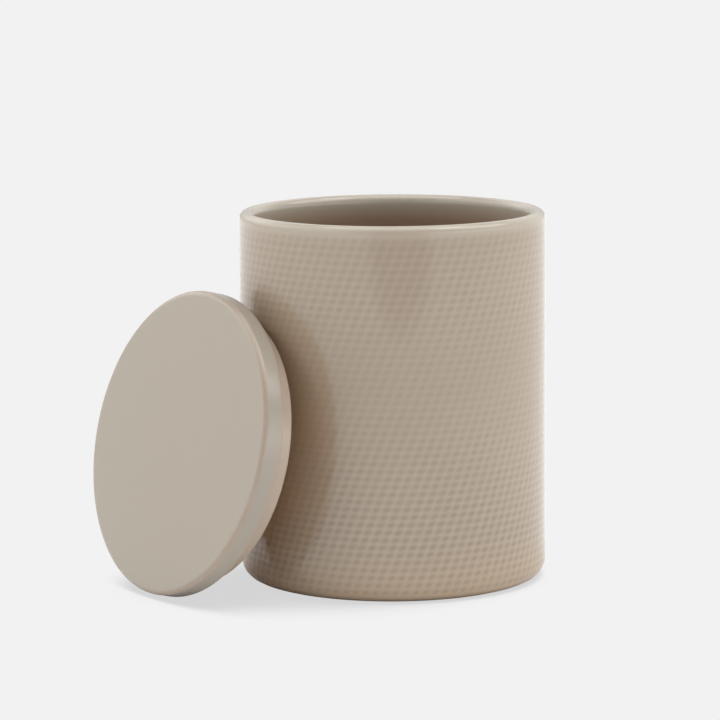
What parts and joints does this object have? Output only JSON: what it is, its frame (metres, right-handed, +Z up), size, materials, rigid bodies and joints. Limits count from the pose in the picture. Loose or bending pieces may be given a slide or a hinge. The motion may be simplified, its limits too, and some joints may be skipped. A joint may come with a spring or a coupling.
{
  "type": "ceramic canister",
  "caption": "Round storage canister of glazed stoneware with a straight wall, and a flat lid with a locating ring that leans on its side.",
  "frame": {"origin": "centre of the canister's foot, on the ground", "axes": "+Z up along the canister's axis; the picture looks along +Y with +X to its right, and the lid leans on the wall on the -X, -Y side"},
  "size_m": [0.1253, 0.1008, 0.1012],
  "materials": {
    "canister_glaze": "satin gloss glaze over a grid of shallow dimples, bare clay under the foot",
    "lid_glaze": "smooth satin gloss glaze"
  },
  "bodies": {
    "root": {"canister": "canister_glaze", "lid": "lid_glaze"}
  },
  "joints": []
}
